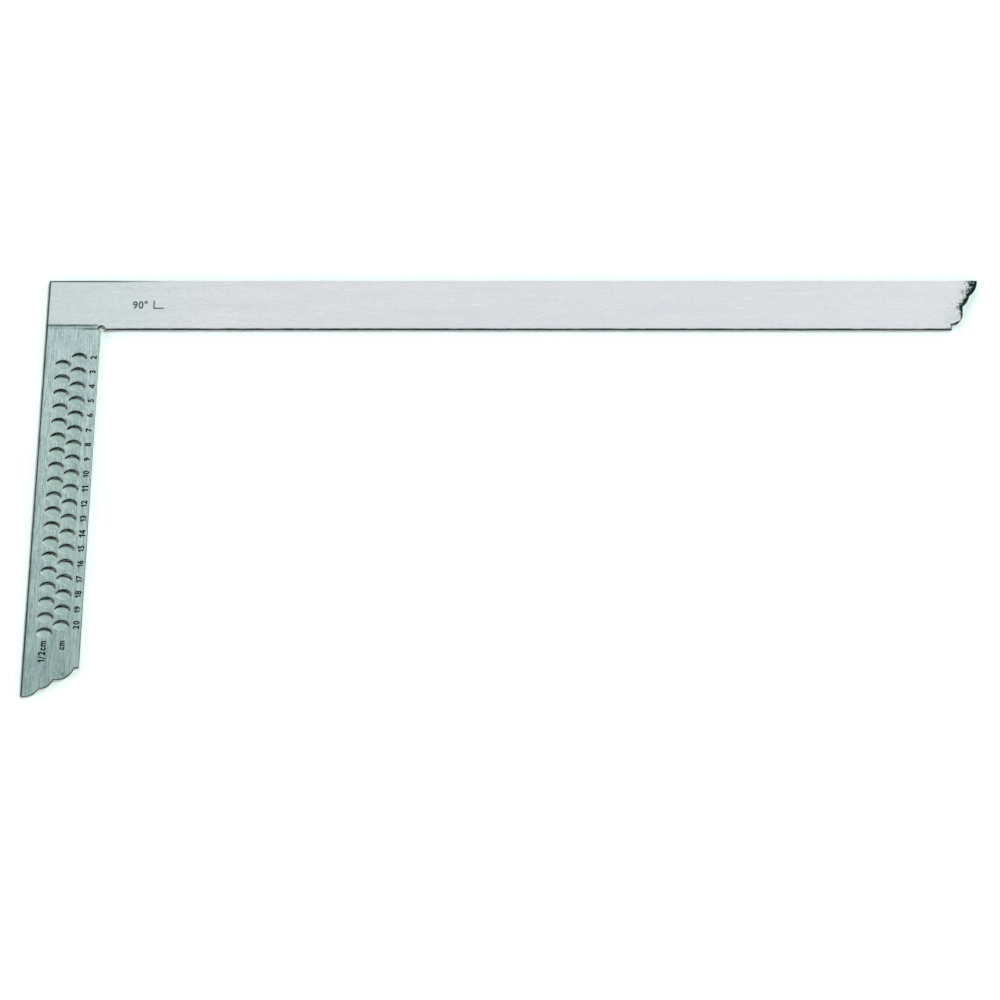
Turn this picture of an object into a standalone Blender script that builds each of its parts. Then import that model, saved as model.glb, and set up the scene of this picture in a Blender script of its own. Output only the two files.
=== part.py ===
"""Carpenter's marking square: a flat steel L with two columns of marking holes.

The square lies on its back face. +X runs along the long blade from the heel to its tip, +Y from
the tip of the short tongue to the blade, and +Z is up. The origin is the middle of the square's
box, on the face that it lies on. Lengths are in metres and angles in degrees.
"""

import math

import bmesh
import bpy
from mathutils import Matrix

# Steel legs
BLADE_LENGTH = 0.600
TONGUE_LENGTH = 0.280
BLADE_WIDTH = 0.034
TONGUE_WIDTH = 0.035
THICKNESS = 0.002
PLATE_MERGE = 0.00001

# Heel, where the tongue is butt welded to the blade
WELD_HEIGHT = 0.0025
JOINT_GAP = 0.0003
RELIEF_RADIUS = 0.0026
RELIEF_OFFSET = 0.0008

# Marking holes, one column on the whole centimetres and one on the halves
PITCH = 0.010
FIRST_FIGURE = 2
LAST_FIGURE = 20
WHOLE_COLUMN = 0.0124
HALF_COLUMN = 0.0226
HOLE_LENGTH = 0.0100
HOLE_WIDTH = 0.0065
HOLE_TIP_RADIUS = 0.0019
HOLE_FLANK_STEPS = 8
HOLE_TIP_STEPS = 4

# Scalloped ends: a short square step, then three round lobes, each with its radius, its top's
# distance from the leg's inner edge, and its rise beyond the step
TONGUE_LOBES = ((0.0106, 0.0130, 0.0076), (0.0086, 0.0236, 0.0134), (0.00995, 0.0328, 0.0187))
BLADE_LOBES = ((0.0077, 0.0112, 0.0075), (0.0099, 0.0250, 0.0123), (0.0115, 0.0336, 0.0175))
LOBE_STEPS = 8
LAST_LOBE_STEPS = 2

# Lettering, black enamel on the tongue and a grey etching on the blade
LETTER_DEPTH = 0.00005
LETTER_LIFT = 0.00002
FIGURE_SQUEEZE = 0.92
UNIT_SQUEEZE = 0.84
LETTER_GAP = 0.00045
FIGURE_HEIGHT = 0.0041
FIGURE_INSET = 0.0031
UNIT_MIDDLE = 0.2132
HALF_UNIT_MIDDLE = 0.2174
UNIT_HEIGHT = 0.0031
HALF_UNIT_HEIGHT = 0.0047
UNIT_INSET = 0.0109
HALF_UNIT_INSET = 0.0234
MARK_HEIGHT = 0.0058
MARK_DISTANCE = 0.0600
BRACKET_DISTANCE = 0.0720
BRACKET_LEG = 0.0070
BRACKET_STROKE = 0.0009

# Letter shapes, in units of the font's size
STROKE_WEIGHT = 0.02
LETTER_MERGE = 0.001
DRAWN_HEIGHT = 0.70
ONE_STEM = 0.13
ONE_FLAG = 0.17
ONE_FLAG_DROP = 0.19
ONE_SHOULDER = 0.03
FOUR_WIDTH = 0.51
FOUR_STEM = (0.29, 0.42)
FOUR_BAR = (0.17, 0.30)
FOUR_ELBOW = 0.29
FOUR_SHOULDER = 0.33
FOUR_STROKE = 0.11

# Lines that the pieces share
HEEL_X = -BLADE_LENGTH / 2
HEEL_Y = TONGUE_LENGTH / 2
BLADE_INNER_Y = HEEL_Y - BLADE_WIDTH
TONGUE_INNER_X = HEEL_X + TONGUE_WIDTH
SEAM_Y = BLADE_INNER_Y + WELD_HEIGHT
RELIEF_CENTRE = (TONGUE_INNER_X + RELIEF_OFFSET, BLADE_INNER_Y)


def clear_scene():
    for existing in list(bpy.data.objects):
        bpy.data.objects.remove(existing, do_unlink=True)


def make_material(name, colour, roughness, metallic):
    material = bpy.data.materials.new(name)
    material.use_nodes = True
    shader = material.node_tree.nodes["Principled BSDF"]
    shader.inputs["Base Color"].default_value = (*colour, 1.0)
    shader.inputs["Roughness"].default_value = roughness
    shader.inputs["Metallic"].default_value = metallic
    return material


def arc(centre, radius, start, end, steps):
    """Points along a round stretch, with both of its ends."""
    points = []
    for step in range(steps + 1):
        angle = math.radians(start + (end - start) * step / steps)
        points.append((centre[0] + radius * math.cos(angle), centre[1] + radius * math.sin(angle)))
    return points


def marking_hole(centre):
    """A pointed oval across the tongue: two flat flanks joined by two small round tips."""
    tip_middle = HOLE_LENGTH / 2 - HOLE_TIP_RADIUS
    half_width = HOLE_WIDTH / 2
    reach = half_width - HOLE_TIP_RADIUS
    flank_radius = (tip_middle**2 + half_width**2 - HOLE_TIP_RADIUS**2) / (2 * reach)
    flank_centre = flank_radius - half_width
    tilt = math.degrees(math.atan2(flank_centre, tip_middle))
    x, y = centre
    points = arc((x + tip_middle, y), HOLE_TIP_RADIUS, -tilt, tilt, HOLE_TIP_STEPS)[:-1]
    points += arc((x, y - flank_centre), flank_radius, tilt, 180 - tilt, HOLE_FLANK_STEPS)[:-1]
    points += arc((x - tip_middle, y), HOLE_TIP_RADIUS, 180 - tilt, 180 + tilt, HOLE_TIP_STEPS)[:-1]
    points += arc((x, y + flank_centre), flank_radius, 180 + tilt, 360 - tilt, HOLE_FLANK_STEPS)[:-1]
    return points


def scalloped_end(width, lobes):
    """A leg's end as (across, outwards), from its inner edge to its outer edge."""
    points = [(0.0, 0.0)]
    level = 0.0
    for radius, top, rise in lobes:
        centre = (top, rise - radius)
        start = 180 - math.degrees(math.asin((level - centre[1]) / radius))
        points += arc(centre, radius, start, 90, LOBE_STEPS)
        level = rise
    fall = math.degrees(math.acos((width - top) / radius))
    return points + arc(centre, radius, 90, fall, LAST_LOBE_STEPS)[1:]


def relief_angle(y):
    """Angle on the relief's left side at height y."""
    return 180 - math.degrees(math.asin((y - BLADE_INNER_Y) / RELIEF_RADIUS))


def blade_outline():
    relief = arc(RELIEF_CENTRE, RELIEF_RADIUS, relief_angle(SEAM_Y), 0, 2 * LOBE_STEPS)
    end_x = BLADE_LENGTH / 2 - BLADE_LOBES[-1][-1]
    end = scalloped_end(BLADE_WIDTH, BLADE_LOBES)
    tip = [(end_x + outwards, BLADE_INNER_Y + across) for across, outwards in end]
    return [(HEEL_X, HEEL_Y), (HEEL_X, SEAM_Y)] + relief + tip


def weld_outline():
    top = SEAM_Y - JOINT_GAP
    bottom = BLADE_INNER_Y + JOINT_GAP
    side = arc(RELIEF_CENTRE, RELIEF_RADIUS, relief_angle(bottom), relief_angle(top), LOBE_STEPS)
    return [(HEEL_X, top), (HEEL_X, bottom)] + side


def tongue_outline():
    end_y = -TONGUE_LENGTH / 2 + TONGUE_LOBES[-1][-1]
    end = scalloped_end(TONGUE_WIDTH, TONGUE_LOBES)
    tip = [(TONGUE_INNER_X - across, end_y - outwards) for across, outwards in end]
    corner = math.degrees(math.acos(-RELIEF_OFFSET / RELIEF_RADIUS))
    relief = arc(RELIEF_CENTRE, RELIEF_RADIUS, 180, 360 - corner, LOBE_STEPS)
    return [(HEEL_X, BLADE_INNER_Y)] + relief + tip


def hole_centres():
    """Middles of all marking holes, those of the whole centimetres first."""
    centres = []
    for inset, shift in ((WHOLE_COLUMN, 0.0), (HALF_COLUMN, PITCH / 2)):
        for figure in range(FIRST_FIGURE, LAST_FIGURE + 1):
            centres.append((TONGUE_INNER_X - inset, BLADE_INNER_Y - figure * PITCH - shift))
    return centres


def curve_to_mesh(curve, name):
    """The curve's filled and extruded shape as one closed mesh."""
    holder = bpy.data.objects.new(name, curve)
    bpy.context.scene.collection.objects.link(holder)
    depsgraph = bpy.context.evaluated_depsgraph_get()
    mesh = bpy.data.meshes.new_from_object(holder.evaluated_get(depsgraph))
    bpy.data.objects.remove(holder, do_unlink=True)
    bpy.data.curves.remove(curve)
    return mesh


def close_mesh(mesh, merge_distance):
    """Weld the loose caps to the walls and point the faces outwards."""
    shape = bmesh.new()
    shape.from_mesh(mesh)
    bmesh.ops.remove_doubles(shape, verts=shape.verts, dist=merge_distance)
    bmesh.ops.recalc_face_normals(shape, faces=shape.faces)
    shape.to_mesh(mesh)
    shape.free()


def add_piece(name, mesh, material, collection):
    mesh.name = name
    mesh.materials.clear()
    mesh.materials.append(material)
    collection.objects.link(bpy.data.objects.new(name, mesh))


def flat_curve(name, loops, thickness):
    """A filled 2D curve through straight-sided loops, as thick as given."""
    curve = bpy.data.curves.new(name, "CURVE")
    curve.dimensions = "2D"
    curve.fill_mode = "BOTH"
    curve.extrude = thickness / 2
    for loop in loops:
        spline = curve.splines.new("POLY")
        spline.points.add(len(loop) - 1)
        for point, (x, y) in zip(spline.points, loop):
            point.co = (x, y, 0.0, 1.0)
        spline.use_cyclic_u = True
    return curve


def plate(name, loops, thickness, bottom, material, collection):
    """A flat piece cut to an outline. Loops inside the first one are holes."""
    mesh = curve_to_mesh(flat_curve(name, loops, thickness), name)
    mesh.transform(Matrix.Translation((0.0, 0.0, bottom + thickness / 2)))
    close_mesh(mesh, PLATE_MERGE)
    add_piece(name, mesh, material, collection)


def flagged_one():
    """Outline of the figure 1, an upright with a flag, on a baseline at zero."""
    left = ONE_FLAG
    right = ONE_FLAG + ONE_STEM
    return [
        (left, 0.0),
        (right, 0.0),
        (right, DRAWN_HEIGHT),
        (left + ONE_SHOULDER, DRAWN_HEIGHT),
        (0.0, DRAWN_HEIGHT - ONE_FLAG_DROP),
        (0.0, DRAWN_HEIGHT - ONE_FLAG_DROP - ONE_STEM),
        (left, DRAWN_HEIGHT - ONE_FLAG_DROP),
    ]


def closed_four():
    """Outline and counter of the figure 4, on a baseline at zero."""
    left, right = FOUR_STEM
    low, high = FOUR_BAR
    outline = [
        (left, 0.0),
        (right, 0.0),
        (right, low),
        (FOUR_WIDTH, low),
        (FOUR_WIDTH, high),
        (right, high),
        (right, DRAWN_HEIGHT),
        (FOUR_SHOULDER, DRAWN_HEIGHT),
        (0.0, FOUR_ELBOW),
        (0.0, low),
        (left, low),
    ]
    slope = (DRAWN_HEIGHT - FOUR_ELBOW) / FOUR_SHOULDER
    inner_elbow = FOUR_ELBOW - FOUR_STROKE * math.hypot(1.0, slope)
    counter = [
        (left, high),
        (left, inner_elbow + slope * left),
        ((high - inner_elbow) / slope, high),
    ]
    return outline, counter


def character_mesh(character):
    """One character as a closed mesh, a unit thick, with its baseline at y = 0."""
    if character == "1":
        curve = flat_curve(character, [flagged_one()], 1.0)
    elif character == "4":
        curve = flat_curve(character, closed_four(), 1.0)
    else:
        curve = bpy.data.curves.new(character, "FONT")
        curve.body = character
        curve.resolution_u = 2
        curve.fill_mode = "BOTH"
        curve.offset = STROKE_WEIGHT
        curve.extrude = 0.5
    mesh = curve_to_mesh(curve, character)
    close_mesh(mesh, LETTER_MERGE)
    return mesh


def span(meshes, axis):
    """Lowest and highest coordinate of some meshes along an axis."""
    values = [vert.co[axis] for mesh in meshes for vert in mesh.vertices]
    return min(values), max(values)


def lettering(names, text, height, squeeze, middle, turn, material, collection):
    """A word as one thin solid per character, centred on middle and turned about Z."""
    meshes = [character_mesh(character) for character in text]
    foot, head = span(meshes, 1)
    scale = height / (head - foot)
    widths = [scale * squeeze * (span([mesh], 0)[1] - span([mesh], 0)[0]) for mesh in meshes]
    start = -(sum(widths) + LETTER_GAP * (len(text) - 1)) / 2
    sizing = Matrix.Diagonal((scale * squeeze, scale, LETTER_DEPTH, 1.0))
    turning = Matrix.Rotation(math.radians(turn), 4, "Z")
    placing = Matrix.Translation((middle[0], middle[1], THICKNESS + LETTER_LIFT))
    for name, mesh, width in zip(names, meshes, widths):
        to_corner = Matrix.Translation((-span([mesh], 0)[0], -(foot + head) / 2, 0.5))
        along = Matrix.Translation((start, 0.0, 0.0))
        mesh.transform(placing @ turning @ along @ sizing @ to_corner)
        add_piece(name, mesh, material, collection)
        start += width + LETTER_GAP


def add_figures(material, collection):
    """A figure beside each whole-centimetre hole, reading along the tongue."""
    for figure in range(FIRST_FIGURE, LAST_FIGURE + 1):
        names = [f"figure_{figure}"]
        if figure > 9:
            names = [f"figure_{figure}_tens", f"figure_{figure}_units"]
        middle = (TONGUE_INNER_X - FIGURE_INSET, BLADE_INNER_Y - figure * PITCH)
        lettering(names, str(figure), FIGURE_HEIGHT, FIGURE_SQUEEZE, middle, 90, material, collection)


def add_units(material, collection):
    """The unit under each column of holes."""
    middle = (TONGUE_INNER_X - UNIT_INSET, BLADE_INNER_Y - UNIT_MIDDLE)
    names = ["unit_cm_c", "unit_cm_m"]
    lettering(names, "cm", UNIT_HEIGHT, UNIT_SQUEEZE, middle, 90, material, collection)
    names = ["half_cm_one", "half_cm_stroke", "half_cm_two", "half_cm_c", "half_cm_m"]
    middle = (TONGUE_INNER_X - HALF_UNIT_INSET, BLADE_INNER_Y - HALF_UNIT_MIDDLE)
    lettering(names, "1/2cm", HALF_UNIT_HEIGHT, UNIT_SQUEEZE, middle, 90, material, collection)


def add_angle_mark(material, collection):
    """A plain right-angle mark on the blade: 90 degrees and a small bracket."""
    middle_y = HEEL_Y - BLADE_WIDTH / 2
    names = ["mark_nine", "mark_zero", "mark_degree"]
    middle = (HEEL_X + MARK_DISTANCE, middle_y)
    lettering(names, "90\u00b0", MARK_HEIGHT, FIGURE_SQUEEZE, middle, 0, material, collection)
    left = HEEL_X + BRACKET_DISTANCE - BRACKET_LEG / 2
    base = middle_y - MARK_HEIGHT / 2
    bracket = [
        (left, base),
        (left + BRACKET_LEG, base),
        (left + BRACKET_LEG, base + BRACKET_STROKE),
        (left + BRACKET_STROKE, base + BRACKET_STROKE),
        (left + BRACKET_STROKE, base + MARK_HEIGHT),
        (left, base + MARK_HEIGHT),
    ]
    bottom = THICKNESS + LETTER_LIFT
    plate("mark_bracket", [bracket], LETTER_DEPTH, bottom, material, collection)


def build_square():
    clear_scene()
    square = bpy.data.collections.new("carpenters_square")
    bpy.context.scene.collection.children.link(square)
    blade_steel = make_material("blade_steel", (0.74, 0.76, 0.78), 0.30, 1.0)
    tongue_steel = make_material("tongue_steel", (0.50, 0.57, 0.55), 0.34, 1.0)
    weld_steel = make_material("weld_steel", (0.46, 0.52, 0.51), 0.42, 1.0)
    enamel = make_material("black_enamel", (0.02, 0.02, 0.02), 0.45, 0.0)
    etching = make_material("grey_etching", (0.22, 0.27, 0.32), 0.55, 0.0)
    plate("blade", [blade_outline()], THICKNESS, 0.0, blade_steel, square)
    plate("corner_weld", [weld_outline()], THICKNESS, 0.0, weld_steel, square)
    holes = [marking_hole(centre) for centre in hole_centres()]
    plate("tongue", [tongue_outline()] + holes, THICKNESS, 0.0, tongue_steel, square)
    add_figures(enamel, square)
    add_units(enamel, square)
    add_angle_mark(etching, square)


build_square()
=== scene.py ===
"""Looks of a carpenter's marking square in brushed stainless steel.

Lengths are in metres. The square lies on its back face, its long blade along +X and its short
tongue along -Y, with the numbered face up.
"""

import math

import bmesh
import bpy
from mathutils import Matrix, Vector


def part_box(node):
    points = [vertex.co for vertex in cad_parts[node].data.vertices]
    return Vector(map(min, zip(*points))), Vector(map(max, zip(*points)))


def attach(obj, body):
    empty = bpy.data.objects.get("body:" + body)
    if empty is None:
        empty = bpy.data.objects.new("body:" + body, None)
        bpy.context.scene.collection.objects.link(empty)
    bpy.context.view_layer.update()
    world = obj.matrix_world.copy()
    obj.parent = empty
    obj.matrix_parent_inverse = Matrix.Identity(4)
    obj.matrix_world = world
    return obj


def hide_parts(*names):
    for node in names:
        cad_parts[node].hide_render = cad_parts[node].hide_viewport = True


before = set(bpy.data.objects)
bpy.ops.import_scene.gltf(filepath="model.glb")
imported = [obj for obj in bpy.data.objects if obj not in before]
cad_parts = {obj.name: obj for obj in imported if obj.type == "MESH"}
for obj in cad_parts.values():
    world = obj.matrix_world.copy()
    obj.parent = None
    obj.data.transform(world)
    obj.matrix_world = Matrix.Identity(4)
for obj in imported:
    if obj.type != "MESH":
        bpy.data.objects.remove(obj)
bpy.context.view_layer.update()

MM = 0.001

# Places taken from the frame
blade_low, blade_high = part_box("blade")
tongue_low, tongue_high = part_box("tongue")
weld_low, weld_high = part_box("corner_weld")
HEEL_X = blade_low.x
HEEL_Y = blade_high.y
TIP_X = blade_high.x
INNER_Y = blade_low.y
INNER_X = tongue_high.x
TONGUE_TIP_Y = tongue_low.y
FACE_Z = blade_high.z

# Joint at the heel
SEAM_Y = INNER_Y + 2.5 * MM
RELIEF_RADIUS = 2.6 * MM
RELIEF_CENTRE = Vector((INNER_X + 0.8 * MM, INNER_Y, 0.0))
OPEN_SEAM = 12.5 * MM
CLOSED_SEAM_X = INNER_X - OPEN_SEAM
ARC_STEPS = 20
SHORT_ARC_STEPS = 6

# Scalloped ends: a short square step, then three round lobes, each with its radius, its top's
# distance from the leg's inner edge, and its rise beyond the step, in millimetres
TONGUE_LOBES = ((10.6, 13.0, 7.6), (8.6, 23.6, 13.4), (9.95, 32.8, 18.7))
BLADE_LOBES = ((7.7, 11.2, 7.5), (9.9, 25.0, 12.3), (11.5, 33.6, 17.5))

# Marking holes
PITCH = 10 * MM
FIRST_FIGURE = 2
LAST_FIGURE = 20
WHOLE_COLUMN = 12.4 * MM
HALF_COLUMN = 22.6 * MM
HOLE_SIZE = Vector((5.0 * MM, 3.25 * MM))
HOLE_TIP_RADIUS = 1.9 * MM
TIP_STEPS = 8
FLANK_STEPS = 14
MERGE = 0.001 * MM
FLAT = 0.999

# Broken edges: the strips are lightly deburred, and the punch rolls each hole's upper rim wide
# and shallow and leaves its lower rim with a small round edge
EDGE_BREAK = 0.3 * MM
EDGE_STEPS = 3
RIM_ROLL = 0.5 * MM
RIM_DROP = 0.17 * MM
LOWER_RIM = 0.12 * MM
ROLL_STEPS = 5

# Lettering: black enamel on the tongue, and a grey etching on the blade
LETTER_DEPTH = 0.05 * MM
LETTER_PROUD = 0.02 * MM
FIGURE_SQUEEZE = 0.92
UNIT_SQUEEZE = 0.84
LETTER_GAP = 0.45 * MM
FIGURE_HEIGHT = 4.1 * MM
FIGURE_INSET = 3.1 * MM
UNIT_MIDDLE = 213.2 * MM
HALF_UNIT_MIDDLE = 217.4 * MM
UNIT_HEIGHT = 3.1 * MM
HALF_UNIT_HEIGHT = 4.7 * MM
UNIT_INSET = 10.9 * MM
HALF_UNIT_INSET = 23.4 * MM
MARK_HEIGHT = 5.8 * MM
MARK_DISTANCE = 60 * MM
BRACKET_STROKE = 0.9 * MM

# Letter shapes, in units of the font's size
WEIGHT = 0.012
MARK_WEIGHT = 0.0
STROKE_BEVEL = 0.03
DRAWN_HEIGHT = 0.70
ONE_STEM = 0.185
ONE_FLAG = 0.17
ONE_FLAG_DROP = 0.19
ONE_SHOULDER = 0.03
FOUR_WIDTH = 0.51
FOUR_STEM = (0.29, 0.45)
FOUR_BAR = (0.14, 0.29)
FOUR_ELBOW = 0.29
FOUR_SHOULDER = 0.33
FOUR_STROKE = 0.13

# Noise textures: their middle value, and where most of their values lie. Each speckle has a size
# and a level of detail
NOISE_MIDDLE = 0.5
NOISE_REACH = (0.3, 0.7)
HALFWAY = 0.5

# Brushing: each kind of streak has a length, a width and a level of detail
HAIRLINE = (16 * MM, 0.7 * MM, 4.0)
BAND = (90 * MM, 6 * MM, 2.0)
GRAIN = (2.4 * MM, 0.8 * MM, 2.0)
SCRATCH = (9 * MM, 0.6 * MM, 1.0)
BAND_SHARE = 0.35
GRAIN_SHARE = 0.6
SCRATCH_VALUES = (0.6, 0.72)
SCRATCH_STRENGTH = 0.6
HEEL_BRUSHING = 2.6
PLAIN_BRUSHING = 1.1
HEEL_BRUSHING_REACH = (60 * MM, 160 * MM)
STEEL_ROUGHNESS = (0.26, 0.36)
CUT_ROUGHNESS = 0.55
STEEL_ANISOTROPY = 0.6
HAIRLINE_BUMP = 0.3
HAIRLINE_DEPTH = 0.03 * MM

# Cut edges: how level a surface is where the face ends and a cut edge begins
WALL_LEVELS = (0.8, 0.5)
RIM_LEVELS = (0.995, 0.96)
RIM_SHINE = "f2f7f5"

# Discoloured places and painted light: each pair of distances says where a stain, a painted shade or
# a painted reflection starts to fade and where it's gone, or for the lower seam where it starts to
# show and where it's full
# One dark colour for the water spots, for the painted shade along the edges and for the painted dark
# reflection at the scallops
DARK_STAIN_AND_SHADE = "0c2a24"
SEAM_TARNISH = "46625b"
UPPER_SEAM_REACH = (0.35 * MM, 1.0 * MM)
UPPER_SEAM_END = (3 * MM, 1 * MM)
LOWER_SEAM_REACH = (0.35 * MM, 0.9 * MM)
LOWER_SEAM_START = (-2 * MM, 4 * MM)
SEAM_PATCH = (6 * MM, 1.2 * MM, 2.0)
SEAM_PATCH_VALUES = (0.3, 0.6)
SEAM_THINNEST = 0.55
# Painted reflection: a faint green cast on the blade toward the heel
HEEL_REFLECTION = "b9dcd0"
HEEL_REFLECTION_REACH = (20 * MM, 110 * MM)
HEEL_REFLECTION_STRENGTH = 0.3
# Painted shade along the heel's outer edge and the first stretch of the blade's back edge
SIDE_SHADE_REACH = (0.8 * MM, 1.5 * MM)
SIDE_SHADE_STRENGTH = 0.9
BACK_SHADE_REACH = (0.7 * MM, 1.3 * MM)
BACK_SHADE_STRENGTH = 0.85
BACK_SHADE_END = (40 * MM, 80 * MM)
SPOTS = ((20.9, 227.2, 1.1), (9.5, 231.7, 1.5))
SPOT_CORE = 0.4
SPOT_STRENGTH = 0.45

# The bloom and the painted dark reflection behind the blade's scallops follow the lobes and the
# slope that joins them. Squared turns a distance along the blade into one square to that slope
SCALLOP_START = 3.5 * MM
SCALLOP_SLOPE = 0.58
SCALLOP_SQUARED = 0.86
BLOOM = "b4cbc6"
BLOOM_REACH = 11 * MM
BLOOM_STRENGTH = 0.8
BLOOM_SPECK = (2.6 * MM, 3.0)
BLOOM_VALUES = (0.4, 0.65)
# Painted dark reflection behind the scallops, widest at the outer lobe
DARK_REFLECTION_REACH = 7.5 * MM
DARK_REFLECTION_SPECK = (1.6 * MM, 4.0)
DARK_REFLECTION_RAGGEDNESS = 2.6
DARK_REFLECTION_EDGE = (0.35, 1.05)
INNER_LOBE_AT = (7 * MM, 12 * MM)
INNER_LOBE_SHARE = (0.1, 0.36)
OUTER_LOBE_FROM = 16 * MM
OUTER_LOBE_SHARE = 0.64

# Enamel
ENAMEL_SPECK = (0.8 * MM, 3.0)
ENAMEL_WORN_VALUES = (0.5, 0.75)
ENAMEL_ROUGHER = 0.12
ENAMEL_SPECULAR = 0.25
ENAMEL_BUMP = 0.2
ENAMEL_DEPTH = 0.01 * MM

# Studio
FLOOR_REACH = 4.0
FLOOR_GAP = 0.05 * MM
PULP_SPECK = (4 * MM, 2.0)
TENT_BAND = (0.3, 0.5)
TENT_BRIGHT_SIDE = (0.6, 0.8, 0.0)
TENT_SIDES = (0.0, 0.5)
TENT_LEVEL = 0.55
TENT_TOP = "a0cabf"
TENT_WALL = "ffffff"
FILL_AZIMUTHS = (10, 100, 190, 280)
CAMERA_LENS = 99.8
CAMERA_SENSOR = 36.0
CAMERA_PLACE = (0.0367, -0.6062, 1.639)
CAMERA_ANGLES = (19.99, 1.278, 0.576)

UP = Vector((0.0, 0.0, 1.0))


def linear(code):
    """Linear colour of an sRGB hex code, with full alpha."""
    channels = [int(code[place:place + 2], 16) / 255 for place in (0, 2, 4)]
    return (*[c / 12.92 if c <= 0.04045 else ((c + 0.055) / 1.055) ** 2.4 for c in channels], 1.0)


# ---------------------------------------------------------------- shapes


def line_to(shape, start, place):
    """Draws a straight side from a vertex, and gives the new vertex."""
    end = shape.verts.new(place)
    shape.edges.new((start, end))
    return end


def arc_to(shape, start, centre, degrees, steps=ARC_STEPS):
    """Sweeps a vertex round a centre, and gives the arc's last vertex."""
    swept = bmesh.ops.spin(
        shape, geom=[start], cent=centre, axis=UP, angle=math.radians(degrees), steps=steps
    )
    return swept["geom_last"][0]


def scallops(shape, start, corner, across, outwards, width, lobes):
    """Draws a leg's scalloped end, from its inner edge to its outer edge."""
    turn = 1 if across.cross(outwards).z > 0 else -1
    level = 0.0
    for radius, top, rise in [[size * MM for size in lobe] for lobe in lobes]:
        depth = level - (rise - radius)
        reach = math.sqrt(radius**2 - depth**2)
        start = line_to(shape, start, corner + across * (top - reach) + outwards * level)
        centre = corner + across * top + outwards * (rise - radius)
        start = arc_to(shape, start, centre, -turn * math.degrees(math.acos(depth / radius)))
        level = rise
    rest = math.degrees(math.asin((width - top) / radius))
    return arc_to(shape, start, centre, -turn * rest, SHORT_ARC_STEPS)


def on_closed_seam(edge):
    """True along the stretch of the tongue's joint that is ground until it can't be seen."""
    return all(
        abs(vert.co.y - INNER_Y) < MERGE and vert.co.x < CLOSED_SEAM_X + MERGE
        for vert in edge.verts
    )


def rim_edges(shape):
    """Edges between a flat face and the wall round it, but for the closed seam."""
    return [
        edge
        for edge in shape.edges
        if {abs(round(face.normal.z)) for face in edge.link_faces} == {0, 1}
        and not on_closed_seam(edge)
    ]


def thicken(shape, last, first, thickness):
    """Closes an outline, fills it, gives it its thickness and breaks its sharp edges."""
    shape.edges.new((last, first))
    bmesh.ops.contextual_create(shape, geom=shape.edges[:])
    raised = bmesh.ops.extrude_face_region(shape, geom=shape.faces[:])
    verts = [item for item in raised["geom"] if isinstance(item, bmesh.types.BMVert)]
    bmesh.ops.translate(shape, verts=verts, vec=UP * thickness)
    bmesh.ops.recalc_face_normals(shape, faces=shape.faces)
    bmesh.ops.bevel(
        shape, geom=rim_edges(shape), offset=EDGE_BREAK, segments=EDGE_STEPS, profile=0.5,
        affect="EDGES", material=-1, clamp_overlap=True,
    )


def flat_caps(shape):
    """The two big flat faces, or the many that one has been cut into."""
    return [face for face in shape.faces if abs(face.normal.z) > FLAT]


def oval(shape, centre):
    """A marking hole's outline on the face: two round tips joined by two flatter flanks."""
    tip_middle = HOLE_SIZE.x - HOLE_TIP_RADIUS
    half_width = HOLE_SIZE.y
    flank_radius = (tip_middle**2 + half_width**2 - HOLE_TIP_RADIUS**2) / (
        2 * (half_width - HOLE_TIP_RADIUS)
    )
    drop = flank_radius - half_width
    tip_angle = math.degrees(math.atan2(drop, tip_middle))
    start = Vector((tip_middle, 0.0, 0.0)) + Vector((tip_middle, -drop, 0.0)).normalized() * (
        HOLE_TIP_RADIUS
    )
    middle = Vector((*centre, FACE_Z))
    first = shape.verts.new(middle + start)
    last = first
    for side in (1, -1):
        tip = middle + Vector((side * tip_middle, 0.0, 0.0))
        last = arc_to(shape, last, tip, 2 * tip_angle, TIP_STEPS)
        flank = middle - Vector((0.0, side * drop, 0.0))
        last = arc_to(shape, last, flank, 180 - 2 * tip_angle, FLANK_STEPS)
    ring = [vert for vert in shape.verts if vert.is_wire]
    bmesh.ops.remove_doubles(shape, verts=ring, dist=MERGE)
    return [edge for edge in shape.edges if edge.is_wire]


def rim_stations():
    """A hole's widening and height, step by step down its wall from the upper rim's edge."""
    angles = [math.radians(90 * step / ROLL_STEPS) for step in range(ROLL_STEPS + 1)]
    upper = [
        (RIM_ROLL * (1 - math.sin(angle)), FACE_Z - RIM_DROP * (1 - math.cos(angle)))
        for angle in angles[1:]
    ]
    lower = [
        (LOWER_RIM * (1 - math.cos(angle)), LOWER_RIM * (1 - math.sin(angle))) for angle in angles
    ]
    return upper + lower


def hole_ring(shape, centre):
    """One marking hole's wall with rolled rims, and the rings where it meets both faces."""
    top = oval(shape, centre)
    about = Matrix.Translation((-centre[0], -centre[1], 0.0))
    size = HOLE_SIZE + Vector((RIM_ROLL, RIM_ROLL))
    rim = list({vert for edge in top for vert in edge.verts})
    widen = (size.x / HOLE_SIZE.x, size.y / HOLE_SIZE.y, 1.0)
    bmesh.ops.scale(shape, verts=rim, vec=widen, space=about)
    edges = top
    height = FACE_Z
    for spread, z in rim_stations():
        made = bmesh.ops.extrude_edge_only(shape, edges=edges)
        verts = [item for item in made["geom"] if isinstance(item, bmesh.types.BMVert)]
        edges = [item for item in made["geom"] if isinstance(item, bmesh.types.BMEdge)]
        edges = [edge for edge in edges if edge.is_boundary]
        wanted = HOLE_SIZE + Vector((spread, spread))
        factor = (wanted.x / size.x, wanted.y / size.y, 1.0)
        bmesh.ops.scale(shape, verts=verts, vec=factor, space=about)
        bmesh.ops.translate(shape, verts=verts, vec=UP * (z - height))
        size = wanted
        height = z
    return top, edges


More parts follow.
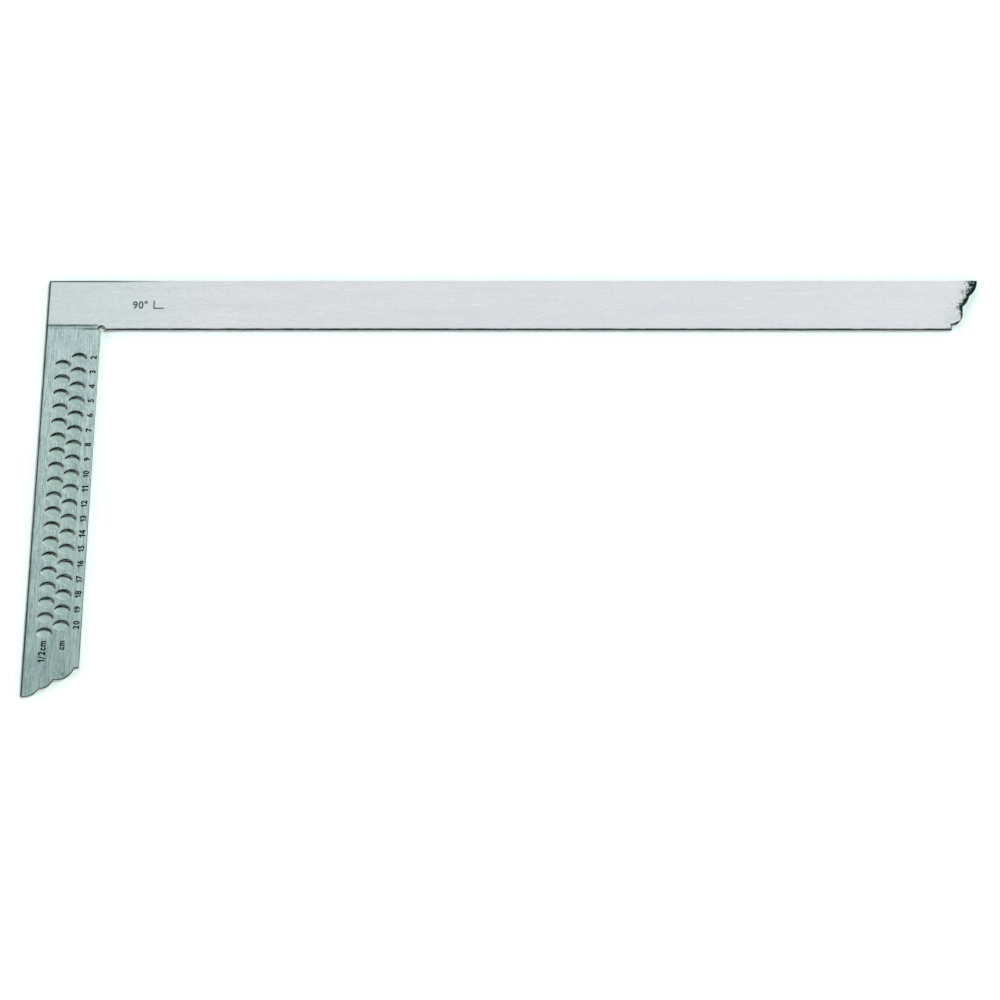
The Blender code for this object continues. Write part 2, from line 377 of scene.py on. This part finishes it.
def pierce(shape, centres):
    """Cuts the marking holes through a plate and fills its two faces round them."""
    caps = flat_caps(shape)
    borders = {True: set(), False: set()}
    for face in caps:
        borders[face.normal.z > 0].update(face.edges)
    bmesh.ops.delete(shape, geom=caps, context="FACES_ONLY")
    for centre in centres:
        top, bottom = hole_ring(shape, centre)
        borders[True].update(top)
        borders[False].update(bottom)
    for upper, edges in borders.items():
        normal = UP if upper else -UP
        bmesh.ops.triangle_fill(shape, use_beauty=True, edges=list(edges), normal=normal)
    bmesh.ops.recalc_face_normals(shape, faces=shape.faces)


def add_grain(shape, along):
    """A UV map whose U runs across the brushing, where gloss spreads, and never collapses."""
    layer = shape.loops.layers.uv.new("grain")
    across = UP.cross(along)
    for face in shape.faces:
        for loop in face.loops:
            place = loop.vert.co
            loop[layer].uv = (place.dot(across) + place.z, place.dot(along) + place.z / 2)


def finish_piece(shape, name, material, nodes):
    """Makes a bmesh a piece of the square in place of some frame nodes."""
    for face in shape.faces:
        face.smooth = abs(face.normal.z) < FLAT
    mesh = bpy.data.meshes.new(name)
    shape.to_mesh(mesh)
    shape.free()
    mesh.materials.append(material)
    piece = bpy.data.objects.new(name, mesh)
    bpy.context.scene.collection.objects.link(piece)
    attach(piece, "root")
    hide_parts(*nodes)
    return piece


def blade_strip(material):
    """The long leg, with the heel's outer corner and the upper part of the relief notch."""
    shape = bmesh.new()
    first = shape.verts.new((HEEL_X, HEEL_Y, 0.0))
    last = line_to(shape, first, (HEEL_X, SEAM_Y, 0.0))
    rise = SEAM_Y - INNER_Y
    reach = math.sqrt(RELIEF_RADIUS**2 - rise**2)
    last = line_to(shape, last, RELIEF_CENTRE + Vector((-reach, rise, 0.0)))
    last = arc_to(shape, last, RELIEF_CENTRE, -math.degrees(math.atan2(rise, -reach)))
    corner = Vector((TIP_X - BLADE_LOBES[-1][-1] * MM, INNER_Y, 0.0))
    last = line_to(shape, last, corner)
    across = Vector((0.0, 1.0, 0.0))
    outwards = Vector((1.0, 0.0, 0.0))
    last = scallops(shape, last, corner, across, outwards, HEEL_Y - INNER_Y, BLADE_LOBES)
    thicken(shape, last, first, FACE_Z)
    add_grain(shape, outwards)
    return finish_piece(shape, "blade_strip", material, ["blade"])


def hole_centres():
    """The whole-centimetre column's holes, and then the half-centimetre column's."""
    centres = []
    for inset, shift in ((WHOLE_COLUMN, 0.0), (HALF_COLUMN, PITCH / 2)):
        for figure in range(FIRST_FIGURE, LAST_FIGURE + 1):
            centres.append((INNER_X - inset, INNER_Y - figure * PITCH - shift))
    return centres


def tongue_strip(material):
    """The short leg, with its marking holes."""
    shape = bmesh.new()
    first = shape.verts.new((HEEL_X, INNER_Y, 0.0))
    last = line_to(shape, first, (CLOSED_SEAM_X, INNER_Y, 0.0))
    last = line_to(shape, last, RELIEF_CENTRE - Vector((RELIEF_RADIUS, 0.0, 0.0)))
    offset = RELIEF_CENTRE.x - INNER_X
    sweep = math.degrees(math.acos(offset / RELIEF_RADIUS))
    last = arc_to(shape, last, RELIEF_CENTRE, sweep)
    corner = Vector((INNER_X, TONGUE_TIP_Y + TONGUE_LOBES[-1][-1] * MM, 0.0))
    last = line_to(shape, last, corner)
    across = Vector((-1.0, 0.0, 0.0))
    outwards = Vector((0.0, -1.0, 0.0))
    last = scallops(shape, last, corner, across, outwards, INNER_X - HEEL_X, TONGUE_LOBES)
    thicken(shape, last, first, FACE_Z)
    pierce(shape, hole_centres())
    add_grain(shape, outwards)
    return finish_piece(shape, "tongue_strip", material, ["tongue"])


def heel_weld(material):
    """The ground-flush weld, which fills the joint from leg to leg."""
    shape = bmesh.new()
    first = shape.verts.new((HEEL_X, SEAM_Y, 0.0))
    last = line_to(shape, first, (HEEL_X, INNER_Y, 0.0))
    last = line_to(shape, last, (CLOSED_SEAM_X, INNER_Y, 0.0))
    last = line_to(shape, last, RELIEF_CENTRE - Vector((RELIEF_RADIUS, 0.0, 0.0)))
    rise = math.degrees(math.asin((SEAM_Y - INNER_Y) / RELIEF_RADIUS))
    last = arc_to(shape, last, RELIEF_CENTRE, -rise)
    thicken(shape, last, first, FACE_Z)
    add_grain(shape, Vector((0.0, 1.0, 0.0)))
    return finish_piece(shape, "heel_weld", material, ["corner_weld"])


# ---------------------------------------------------------------- lettering


def to_mesh(curve):
    """The curve's filled and extruded shape as a closed mesh."""
    holder = bpy.data.objects.new(curve.name, curve)
    bpy.context.scene.collection.objects.link(holder)
    depsgraph = bpy.context.evaluated_depsgraph_get()
    mesh = bpy.data.meshes.new_from_object(holder.evaluated_get(depsgraph))
    bpy.data.objects.remove(holder, do_unlink=True)
    bpy.data.curves.remove(curve)
    return mesh


def flat_curve(loops, thickness):
    """A filled curve through straight-sided loops. Loops inside the first one are holes."""
    curve = bpy.data.curves.new("outline", "CURVE")
    curve.dimensions = "2D"
    curve.fill_mode = "BOTH"
    curve.extrude = thickness / 2
    for loop in loops:
        spline = curve.splines.new("POLY")
        spline.points.add(len(loop) - 1)
        for point, (x, y) in zip(spline.points, loop):
            point.co = (x, y, 0.0, 1.0)
        spline.use_cyclic_u = True
    return curve


def font_curve(character, offset):
    """One character of the font, a unit thick, its strokes made bolder by offset and bevel."""
    curve = bpy.data.curves.new(character, "FONT")
    curve.body = character
    curve.resolution_u = 8
    curve.fill_mode = "BOTH"
    curve.offset = offset
    curve.bevel_depth = STROKE_BEVEL
    curve.bevel_resolution = 0
    curve.extrude = 0.5 - STROKE_BEVEL
    return curve


def flagged_one():
    """The figure 1, an upright with a flag."""
    left = ONE_FLAG
    right = ONE_FLAG + ONE_STEM
    drop = DRAWN_HEIGHT - ONE_FLAG_DROP
    return [
        [
            (left, 0.0),
            (right, 0.0),
            (right, DRAWN_HEIGHT),
            (left + ONE_SHOULDER, DRAWN_HEIGHT),
            (0.0, drop),
            (0.0, drop - ONE_STEM),
            (left, drop),
        ]
    ]


def closed_four():
    """The figure 4, with a three-cornered counter."""
    left, right = FOUR_STEM
    low, high = FOUR_BAR
    slope = (DRAWN_HEIGHT - FOUR_ELBOW) / FOUR_SHOULDER
    inner_elbow = FOUR_ELBOW - FOUR_STROKE * math.hypot(1.0, slope)
    outline = [
        (left, 0.0),
        (right, 0.0),
        (right, low),
        (FOUR_WIDTH, low),
        (FOUR_WIDTH, high),
        (right, high),
        (right, DRAWN_HEIGHT),
        (FOUR_SHOULDER, DRAWN_HEIGHT),
        (0.0, FOUR_ELBOW),
        (0.0, low),
        (left, low),
    ]
    counter = [
        (left, high),
        (left, inner_elbow + slope * left),
        ((high - inner_elbow) / slope, high),
    ]
    return [outline, counter]


def character_mesh(character, offset):
    """One character, a unit thick, with its baseline at zero."""
    drawn = {"1": flagged_one, "4": closed_four}
    if character in drawn:
        return to_mesh(flat_curve(drawn[character](), 1.0))
    return to_mesh(font_curve(character, offset))


def span(meshes, axis):
    """Lowest and highest coordinate of some meshes along an axis."""
    values = [vert.co[axis] for mesh in meshes for vert in mesh.vertices]
    return min(values), max(values)


def lettering(name, text, height, squeeze, middle, turn, material, nodes, offset=WEIGHT):
    """A word in thin flat characters, centred on middle and turned about Z."""
    meshes = [character_mesh(character, offset) for character in text]
    foot, head = span(meshes, 1)
    scale = height / (head - foot)
    widths = [scale * squeeze * (span([mesh], 0)[1] - span([mesh], 0)[0]) for mesh in meshes]
    start = -(sum(widths) + LETTER_GAP * (len(text) - 1)) / 2
    sizing = Matrix.Diagonal((scale * squeeze, scale, LETTER_DEPTH, 1.0))
    turning = Matrix.Rotation(math.radians(turn), 4, "Z")
    placing = Matrix.Translation((middle[0], middle[1], FACE_Z + LETTER_PROUD - LETTER_DEPTH / 2))
    shape = bmesh.new()
    for mesh, width in zip(meshes, widths):
        to_corner = Matrix.Translation((-span([mesh], 0)[0], -(foot + head) / 2, 0.0))
        along = Matrix.Translation((start, 0.0, 0.0))
        mesh.transform(placing @ turning @ along @ sizing @ to_corner)
        shape.from_mesh(mesh)
        bpy.data.meshes.remove(mesh)
        start += width + LETTER_GAP
    bmesh.ops.remove_doubles(shape, verts=shape.verts, dist=MERGE)
    bmesh.ops.recalc_face_normals(shape, faces=shape.faces)
    return finish_piece(shape, name, material, nodes)


def add_figures(material):
    """A figure beside each whole-centimetre hole, reading along the tongue."""
    for figure in range(FIRST_FIGURE, LAST_FIGURE + 1):
        nodes = [f"figure_{figure}"]
        if figure > 9:
            nodes = [f"figure_{figure}_tens", f"figure_{figure}_units"]
        middle = (INNER_X - FIGURE_INSET, INNER_Y - figure * PITCH)
        lettering(
            f"number_{figure}", str(figure), FIGURE_HEIGHT, FIGURE_SQUEEZE, middle, 90,
            material, nodes,
        )


def add_units(material):
    """The unit under each column of holes."""
    lettering(
        "whole_unit", "cm", UNIT_HEIGHT, UNIT_SQUEEZE,
        (INNER_X - UNIT_INSET, INNER_Y - UNIT_MIDDLE), 90,
        material, ["unit_cm_c", "unit_cm_m"],
    )
    lettering(
        "half_unit", "1/2cm", HALF_UNIT_HEIGHT, UNIT_SQUEEZE,
        (INNER_X - HALF_UNIT_INSET, INNER_Y - HALF_UNIT_MIDDLE), 90,
        material,
        ["half_cm_one", "half_cm_stroke", "half_cm_two", "half_cm_c", "half_cm_m"],
    )


def add_angle_mark(material):
    """A plain right-angle mark on the blade: 90 degrees and a small bracket."""
    middle_y = HEEL_Y - (HEEL_Y - INNER_Y) / 2
    lettering(
        "angle_figure", "90°", MARK_HEIGHT, FIGURE_SQUEEZE, (HEEL_X + MARK_DISTANCE, middle_y),
        0, material, ["mark_nine", "mark_zero", "mark_degree"], MARK_WEIGHT,
    )
    low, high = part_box("mark_bracket")
    outline = [
        (low.x, low.y),
        (high.x, low.y),
        (high.x, low.y + BRACKET_STROKE),
        (low.x + BRACKET_STROKE, low.y + BRACKET_STROKE),
        (low.x + BRACKET_STROKE, high.y),
        (low.x, high.y),
    ]
    mesh = to_mesh(flat_curve([outline], LETTER_DEPTH))
    mesh.transform(Matrix.Translation(UP * (FACE_Z + LETTER_PROUD - LETTER_DEPTH / 2)))
    shape = bmesh.new()
    shape.from_mesh(mesh)
    bpy.data.meshes.remove(mesh)
    bmesh.ops.remove_doubles(shape, verts=shape.verts, dist=MERGE)
    finish_piece(shape, "angle_bracket", material, ["mark_bracket"])


# ---------------------------------------------------------------- materials


def add_node(tree, kind, inputs=None, **settings):
    """Adds a shader node, sets it up, and fills its sockets with values or links."""
    node = tree.nodes.new("ShaderNode" + kind)
    for name, value in settings.items():
        setattr(node, name, value)
    for socket, value in (inputs or {}).items():
        if isinstance(value, bpy.types.NodeSocket):
            tree.links.new(value, node.inputs[socket])
        else:
            node.inputs[socket].default_value = value
    return node


def new_material(name):
    """An empty material, with its node tree and its shader."""
    material = bpy.data.materials.new(name)
    material.use_nodes = True
    tree = material.node_tree
    return material, tree, tree.nodes["Principled BSDF"]


def maths(tree, operation, *values):
    """The result of a sum on sockets and numbers."""
    return add_node(tree, "Math", dict(enumerate(values)), operation=operation).outputs[0]


def object_place(tree):
    """The point's place in the part's own coordinates."""
    return add_node(tree, "TexCoord").outputs["Object"]


def axes(tree, vector):
    """A vector's X, Y and Z."""
    return add_node(tree, "SeparateXYZ", {0: vector}).outputs[:]


def speckle(tree, size, detail):
    """Even noise in the steel, enamel or card, with specks of about this size."""
    inputs = {"Vector": object_place(tree), "Scale": 1 / size, "Detail": detail}
    return add_node(tree, "TexNoise", inputs).outputs["Fac"]


def streaks(tree, length, width, detail, along_x):
    """Noise drawn out along the brushing: its streaks are about so long and so wide."""
    scale = (1 / length, 1 / width, 1 / width) if along_x else (1 / width, 1 / length, 1 / width)
    inputs = {"Vector": object_place(tree), "Scale": scale}
    mapped = add_node(tree, "Mapping", inputs).outputs[0]
    noise = add_node(tree, "TexNoise", {"Vector": mapped, "Scale": 1.0, "Detail": detail})
    return noise.outputs["Fac"]


def blend(tree, factor, first, second):
    """A colour between two, each a socket or an sRGB hex code."""
    first = linear(first) if isinstance(first, str) else first
    second = linear(second) if isinstance(second, str) else second
    mixed = add_node(tree, "Mix", {0: factor, 6: first, 7: second}, data_type="RGBA")
    return mixed.outputs[2]


def ramp(tree, value, start, end, low=0.0, high=1.0):
    """A value read from one range into another, held at its ends."""
    inputs = {"Value": value, "From Min": start, "From Max": end, "To Min": low, "To Max": high}
    return add_node(tree, "MapRange", inputs).outputs[0]


def levelness(tree):
    """One on the two big faces, down to nothing on the upright cut edges."""
    normal = add_node(tree, "NewGeometry").outputs["Normal"]
    return maths(tree, "ABSOLUTE", axes(tree, normal)[2])


def coarse_brushing(tree):
    """How strongly the brushing shows: most round the heel, which is brushed again by hand."""
    x = axes(tree, object_place(tree))[0]
    start, end = HEEL_BRUSHING_REACH
    return ramp(tree, x, HEEL_X + start, HEEL_X + end, HEEL_BRUSHING, PLAIN_BRUSHING)


def brushed_steel(name, along_x, pale, deep, cut_edge_and_shade, stains_and_painted_light):
    """Cold-rolled stainless sheet, belt-brushed lengthwise and then sheared.

    Belt grit of about 0.1 mm leaves parallel hairlines, which spread gloss across the strip and
    give it long pale and deep streaks. Single hairlines are too fine to show, so they are drawn
    about 0.7 mm wide. Sheared and punched edges are rougher and a little darker; the near-black they
    are given, deepest on the tongue, is partly painted shade in the hole walls and along the edges.
    The list of stains and painted light holds functions, each of which gives the mask and the colour
    of one stain, one painted shade or one painted reflection.
    """
    material, tree, shader = new_material(name)
    hairlines = streaks(tree, *HAIRLINE, along_x)
    bands = maths(tree, "MULTIPLY", streaks(tree, *BAND, along_x), BAND_SHARE)
    grain = maths(tree, "MULTIPLY", streaks(tree, *GRAIN, along_x), GRAIN_SHARE)
    mixed = maths(tree, "ADD", maths(tree, "ADD", hairlines, bands), grain)
    middle = NOISE_MIDDLE * (1 + BAND_SHARE + GRAIN_SHARE)
    offset = maths(tree, "SUBTRACT", mixed, middle)
    tone = maths(tree, "ADD", maths(tree, "MULTIPLY", offset, coarse_brushing(tree)), HALFWAY)
    face = blend(tree, ramp(tree, tone, 0.0, 1.0), deep, pale)
    scratches = streaks(tree, *SCRATCH, along_x)
    scratched = ramp(tree, scratches, *SCRATCH_VALUES, 0.0, SCRATCH_STRENGTH)
    face = blend(tree, scratched, face, pale)
    for place in stains_and_painted_light:
        mask, colour = place(tree)
        face = blend(tree, mask, face, colour)
    level = levelness(tree)
    face = blend(tree, ramp(tree, level, *RIM_LEVELS), face, RIM_SHINE)
    # Walls take the cut-edge colour: rougher sheared steel, partly painted shade in the holes and
    # along the edges
    walls = ramp(tree, level, *WALL_LEVELS)
    tree.links.new(blend(tree, walls, face, cut_edge_and_shade), shader.inputs["Base Color"])
    gloss = ramp(tree, hairlines, *NOISE_REACH, *STEEL_ROUGHNESS)
    dulled = add_node(tree, "Mix", {0: walls, 2: gloss, 3: CUT_ROUGHNESS}).outputs[0]
    tree.links.new(dulled, shader.inputs["Roughness"])
    shader.inputs["Metallic"].default_value = 1.0
    shader.inputs["Anisotropic"].default_value = STEEL_ANISOTROPY
    tangent = add_node(tree, "Tangent", direction_type="UV_MAP", uv_map="grain")
    tree.links.new(tangent.outputs[0], shader.inputs["Tangent"])
    relief = {"Strength": HAIRLINE_BUMP, "Distance": HAIRLINE_DEPTH, "Height": hairlines}
    tree.links.new(add_node(tree, "Bump", relief).outputs[0], shader.inputs["Normal"])
    return material


def seam_tarnish(tree):
    """Heat tint along the weld's two seams, patchy and fading to nothing on either side."""
    x, y = axes(tree, object_place(tree))[:2]
    from_upper = maths(tree, "ABSOLUTE", maths(tree, "SUBTRACT", y, SEAM_Y))
    before_end = ramp(tree, x, *[INNER_X - distance for distance in UPPER_SEAM_END], 1.0, 0.0)
    upper = maths(tree, "MULTIPLY", ramp(tree, from_upper, *UPPER_SEAM_REACH, 1.0, 0.0), before_end)
    from_lower = maths(tree, "ABSOLUTE", maths(tree, "SUBTRACT", y, INNER_Y))
    opened = ramp(tree, x, *[CLOSED_SEAM_X + distance for distance in LOWER_SEAM_START])
    lower = maths(tree, "MULTIPLY", ramp(tree, from_lower, *LOWER_SEAM_REACH, 1.0, 0.0), opened)
    patches = streaks(tree, *SEAM_PATCH, True)
    patchy = ramp(tree, patches, *SEAM_PATCH_VALUES, SEAM_THINNEST, 1.0)
    return maths(tree, "MULTIPLY", maths(tree, "MAXIMUM", upper, lower), patchy), SEAM_TARNISH


def heel_tint(tree):
    """Painted reflection: the faint green cast, a little darker, that the blade shows toward the
    heel.
    """
    x = axes(tree, object_place(tree))[0]
    start, end = HEEL_REFLECTION_REACH
    return ramp(tree, x, HEEL_X + start, HEEL_X + end, HEEL_REFLECTION_STRENGTH, 0.0), HEEL_REFLECTION


def handled_edges(tree):
    """Painted shade: a dark line along the heel's outer edge, and along the first stretch of the
    blade's back edge.
    """
    x, y = axes(tree, object_place(tree))[:2]
    from_side = maths(tree, "SUBTRACT", x, HEEL_X)
    side = ramp(tree, from_side, *SIDE_SHADE_REACH, SIDE_SHADE_STRENGTH, 0.0)
    from_back = maths(tree, "SUBTRACT", HEEL_Y, y)
    back = ramp(tree, from_back, *BACK_SHADE_REACH, BACK_SHADE_STRENGTH, 0.0)
    first = ramp(tree, x, *[HEEL_X + distance for distance in BACK_SHADE_END], 1.0, 0.0)
    return maths(tree, "MAXIMUM", side, maths(tree, "MULTIPLY", back, first)), DARK_STAIN_AND_SHADE


def scallop_depth(tree):
    """Distance inwards from the blade's scallops and from the slope that joins them."""
    x, y = axes(tree, object_place(tree))[:2]
    corner_x = TIP_X - BLADE_LOBES[-1][-1] * MM
    depth = maths(tree, "SUBTRACT", corner_x, x)
    across = maths(tree, "SUBTRACT", y, INNER_Y + SCALLOP_START)
    behind = maths(tree, "ADD", maths(tree, "MULTIPLY", across, SCALLOP_SLOPE), depth)
    depth = maths(tree, "MAXIMUM", depth, maths(tree, "MULTIPLY", behind, SCALLOP_SQUARED))
    for radius, top, rise in BLADE_LOBES:
        out = maths(tree, "SUBTRACT", x, corner_x + (rise - radius) * MM)
        up = maths(tree, "SUBTRACT", y, INNER_Y + top * MM)
        arm = add_node(tree, "CombineXYZ", {"X": maths(tree, "MAXIMUM", out, 0.0), "Y": up})
        away = add_node(tree, "VectorMath", {0: arm.outputs[0]}, operation="LENGTH")
        inwards = maths(tree, "SUBTRACT", radius * MM, away.outputs["Value"])
        depth = maths(tree, "MAXIMUM", depth, inwards)
    return depth


def scallop_stain(tree):
    """A pale green bloom behind the scallops."""
    closeness = ramp(tree, scallop_depth(tree), 0.0, BLOOM_REACH, BLOOM_STRENGTH, 0.0)
    patches = ramp(tree, speckle(tree, *BLOOM_SPECK), *BLOOM_VALUES)
    return maths(tree, "MULTIPLY", patches, closeness), BLOOM


def scallop_tarnish(tree):
    """Painted reflection: dark mottling painted in from the blade's scallops, most of all at the
    outer lobe.
    """
    y = axes(tree, object_place(tree))[1]
    start, end = INNER_LOBE_AT
    lobe = ramp(tree, y, INNER_Y + start, INNER_Y + end, *INNER_LOBE_SHARE)
    outer = ramp(tree, y, INNER_Y + OUTER_LOBE_FROM, HEEL_Y, 0.0, OUTER_LOBE_SHARE)
    reach = maths(tree, "MULTIPLY", maths(tree, "ADD", lobe, outer), DARK_REFLECTION_REACH)
    closeness = maths(tree, "DIVIDE", scallop_depth(tree), reach)
    uneven = maths(tree, "SUBTRACT", speckle(tree, *DARK_REFLECTION_SPECK), NOISE_MIDDLE)
    edge = maths(tree, "ADD", closeness, maths(tree, "MULTIPLY", uneven, DARK_REFLECTION_RAGGEDNESS))
    return ramp(tree, edge, *DARK_REFLECTION_EDGE, 1.0, 0.0), DARK_STAIN_AND_SHADE


def water_spots(tree):
    """Two small stains near the tongue's tip."""
    place = object_place(tree)
    mask = 0.0
    for inset, below, radius in [[size * MM for size in spot] for spot in SPOTS]:
        centre = (INNER_X - inset, INNER_Y - below, FACE_Z)
        away = add_node(tree, "VectorMath", {0: place, 1: centre}, operation="DISTANCE")
        spot = ramp(tree, away.outputs["Value"], SPOT_CORE * radius, radius, SPOT_STRENGTH, 0.0)
        mask = maths(tree, "MAXIMUM", mask, spot)
    return mask, DARK_STAIN_AND_SHADE


def enamel(name, colour, worn, roughness):
    """Baked enamel rubbed into etched figures: nearly flat, with paler rubbed specks."""
    material, tree, shader = new_material(name)
    specks = speckle(tree, *ENAMEL_SPECK)
    rubbed = ramp(tree, specks, *ENAMEL_WORN_VALUES)
    tree.links.new(blend(tree, rubbed, colour, worn), shader.inputs["Base Color"])
    gloss = ramp(tree, specks, *NOISE_REACH, roughness, roughness + ENAMEL_ROUGHER)
    tree.links.new(gloss, shader.inputs["Roughness"])
    shader.inputs["Specular IOR Level"].default_value = ENAMEL_SPECULAR
    relief = {"Strength": ENAMEL_BUMP, "Distance": ENAMEL_DEPTH, "Height": specks}
    tree.links.new(add_node(tree, "Bump", relief).outputs[0], shader.inputs["Normal"])
    return material


# ---------------------------------------------------------------- studio


def paper_floor():
    """A sheet of matt white card, which gives the square a soft contact shadow."""
    material, tree, shader = new_material("matt_card")
    pulp = speckle(tree, *PULP_SPECK)
    tree.links.new(blend(tree, pulp, "f2f4f3", "f6f7f6"), shader.inputs["Base Color"])
    shader.inputs["Roughness"].default_value = 0.9
    shader.inputs["Specular IOR Level"].default_value = 0.2
    shape = bmesh.new()
    bmesh.ops.create_grid(shape, x_segments=1, y_segments=1, size=FLOOR_REACH)
    bmesh.ops.translate(shape, verts=shape.verts, vec=-UP * FLOOR_GAP)
    mesh = bpy.data.meshes.new("floor")
    shape.to_mesh(mesh)
    shape.free()
    mesh.materials.append(material)
    floor = bpy.data.objects.new("floor", mesh)
    bpy.context.scene.collection.objects.link(floor)


def studio_tent():
    """A tent, grey-green overhead and white low down, where it is brightest behind and right."""
    world = bpy.data.worlds.new("studio_tent")
    bpy.context.scene.world = world
    world.use_nodes = True
    world.cycles_visibility.diffuse = False
    tree = world.node_tree
    outward = add_node(tree, "TexCoord").outputs["Generated"]
    low_down = ramp(tree, axes(tree, outward)[2], *TENT_BAND, 1.0, 0.0)
    toward = add_node(tree, "VectorMath", {0: outward, 1: TENT_BRIGHT_SIDE}, operation="DOT_PRODUCT")
    side = ramp(tree, toward.outputs["Value"], -1.0, 1.0, *TENT_SIDES)
    wall = maths(tree, "MULTIPLY", low_down, side)
    colour = blend(tree, low_down, TENT_TOP, TENT_WALL)
    background = tree.nodes["Background"]
    tree.links.new(colour, background.inputs["Color"])
    tree.links.new(maths(tree, "ADD", wall, TENT_LEVEL), background.inputs["Strength"])


def softbox(name, place, aim, width, height, power, colour):
    """A lamp that shows in glossy reflections only: much in the steel, hardly in the matt card."""
    light = bpy.data.lights.new(name, "AREA")
    light.shape = "RECTANGLE"
    light.size = width
    light.size_y = height
    light.energy = power
    light.color = linear(colour)[:3]
    lamp = bpy.data.objects.new(name, light)
    lamp.location = place
    lamp.rotation_euler = (Vector(aim) - Vector(place)).to_track_quat("-Z", "Y").to_euler()
    lamp.visible_diffuse = False
    bpy.context.scene.collection.objects.link(lamp)


def sun(name, azimuth, elevation, strength, spread, colour):
    """A far lamp that lights the card and the enamel but has no glint in the steel.

    Azimuth, from +X towards +Y, and elevation give the way to the lamp. Spread is how wide it
    looks. All are in degrees.
    """
    light = bpy.data.lights.new(name, "SUN")
    light.color = linear(colour)[:3]
    light.energy = strength
    light.angle = math.radians(spread)
    lamp = bpy.data.objects.new(name, light)
    lamp.rotation_euler = (0.0, math.radians(90 - elevation), math.radians(azimuth))
    lamp.visible_glossy = False
    bpy.context.scene.collection.objects.link(lamp)


def camera():
    """A long lens, nearly overhead, leaning back a little from the blade."""
    lens = bpy.data.cameras.new("camera")
    lens.lens = CAMERA_LENS
    lens.sensor_width = CAMERA_SENSOR
    holder = bpy.data.objects.new("camera", lens)
    holder.location = CAMERA_PLACE
    holder.rotation_euler = [math.radians(angle) for angle in CAMERA_ANGLES]
    bpy.context.scene.collection.objects.link(holder)
    bpy.context.scene.camera = holder


# ---------------------------------------------------------------- the square

blade_steel = brushed_steel(
    "brushed_stainless_blade", along_x=True, pale="f3edf1", deep="d7d3da", cut_edge_and_shade="2b3432",
    stains_and_painted_light=[heel_tint, scallop_stain, scallop_tarnish, seam_tarnish, handled_edges],
)
# The tongue is the same steel as the blade, given darker and greener colours: painted shade and a
# painted grey-green reflection
tongue_steel = brushed_steel(
    "brushed_stainless_tongue", along_x=False, pale="d3e0e0", deep="94aba9", cut_edge_and_shade="0c1412",
    stains_and_painted_light=[seam_tarnish, water_spots, handled_edges],
)
# The weld's darker, greener colours are painted shade and reflection, like the tongue's
weld_steel = brushed_steel(
    "ground_weld", along_x=False, pale="c1cecf", deep="8a9f9c", cut_edge_and_shade="0c1412",
    stains_and_painted_light=[seam_tarnish, handled_edges],
)
black_enamel = enamel("black_enamel", colour="050606", worn="141616", roughness=0.5)
grey_etching = enamel("grey_etching", colour="3f4f57", worn="5e6d72", roughness=0.6)

blade_strip(blade_steel)
tongue_strip(tongue_steel)
heel_weld(weld_steel)
add_figures(black_enamel)
add_units(black_enamel)
add_angle_mark(grey_etching)

paper_floor()
studio_tent()
softbox(
    "overhead_softbox", place=(-0.03, 0.85, 1.45), aim=(0.0, 0.1, 0.0),
    width=1.6, height=1.1, power=4.95, colour="fff5f8",
)
softbox(
    "rim_strip", place=(1.2, 1.3, 1.35), aim=(-0.25, 0.0, 0.0),
    width=1.6, height=0.35, power=7.0, colour="ffffff",
)
sun("key", azimuth=50, elevation=50, strength=2.0, spread=9, colour="d8fff3")
for azimuth in FILL_AZIMUTHS:
    sun("fill", azimuth, elevation=12, strength=3.6, spread=20, colour="ffffff")
camera()
bpy.context.scene.view_settings.view_transform = "Standard"
